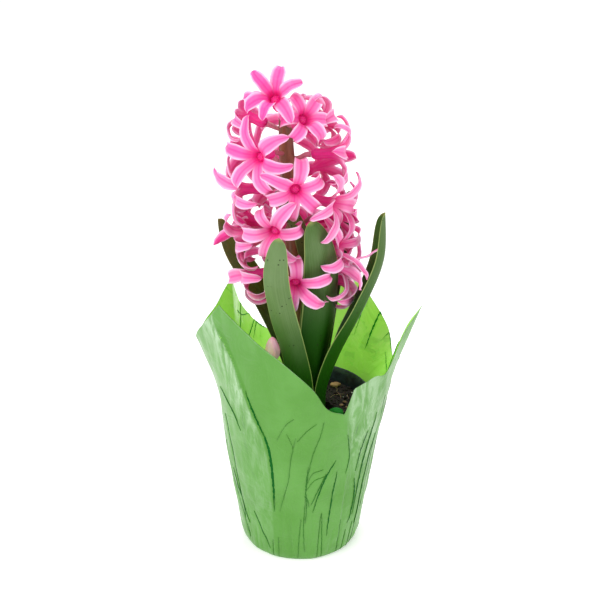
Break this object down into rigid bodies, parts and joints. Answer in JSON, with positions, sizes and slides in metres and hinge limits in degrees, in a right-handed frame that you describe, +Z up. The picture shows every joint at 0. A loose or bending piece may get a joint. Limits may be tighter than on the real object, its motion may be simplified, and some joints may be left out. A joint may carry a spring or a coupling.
{
  "type": "potted hyacinth plant",
  "caption": "Potted hyacinth in bloom: a dense pink flower spike among strap leaves, in a small black nursery pot set in a gathered green film cover.",
  "frame": {"origin": "middle of the cover's flat base, on the surface it stands on", "axes": "+Z up, -Y is the front, where the cover dips to a notch, +X to the right seen from the front"},
  "size_m": [0.152, 0.1268, 0.3444],
  "materials": {
    "green_film": "satin green wrapping film, creased, with a pale sheen at a low angle",
    "black_plastic": "thin moulded nursery-pot plastic",
    "potting_soil": "loose dark peat with bark and rootlets",
    "bulb_skin": "papery bulb scales",
    "scape_brown": "smooth fleshy stalk, brown",
    "hyacinth_pink": "waxy petals, pink with deeper midribs and paler margins",
    "leaf_green": "smooth fleshy leaf, glaucous, pale at the margin",
    "pale_stalk": "smooth pale green stalk",
    "bud_pink": "waxy closed bud",
    "bark": "raw wood chip"
  },
  "bodies": {
    "root": {"wrap": "green_film", "pot": "black_plastic", "soil": "potting_soil", "bulb": "bulb_skin", "flower_stalk": "scape_brown", "floret_01": "hyacinth_pink", "floret_02": "hyacinth_pink", "floret_03": "hyacinth_pink", "floret_04": "hyacinth_pink", "floret_05": "hyacinth_pink", "floret_06": "hyacinth_pink", "floret_07": "hyacinth_pink", "floret_08": "hyacinth_pink", "floret_09": "hyacinth_pink", "floret_10": "hyacinth_pink", "floret_11": "hyacinth_pink", "floret_12": "hyacinth_pink", "floret_13": "hyacinth_pink", "floret_14": "hyacinth_pink", "floret_15": "hyacinth_pink", "floret_16": "hyacinth_pink", "floret_17": "hyacinth_pink", "floret_18": "hyacinth_pink", "floret_19": "hyacinth_pink", "floret_20": "hyacinth_pink", "floret_21": "hyacinth_pink", "floret_22": "hyacinth_pink", "floret_23": "hyacinth_pink", "floret_24": "hyacinth_pink", "floret_25": "hyacinth_pink", "floret_26": "hyacinth_pink", "leaf_front_left": "leaf_green", "leaf_middle": "leaf_green", "leaf_right": "leaf_green", "leaf_far_left": "leaf_green", "leaf_inner": "leaf_green", "leaf_back": "leaf_green", "side_stalk": "pale_stalk", "side_bud": "bud_pink", "bark_chip": "bark"}
  },
  "joints": []
}
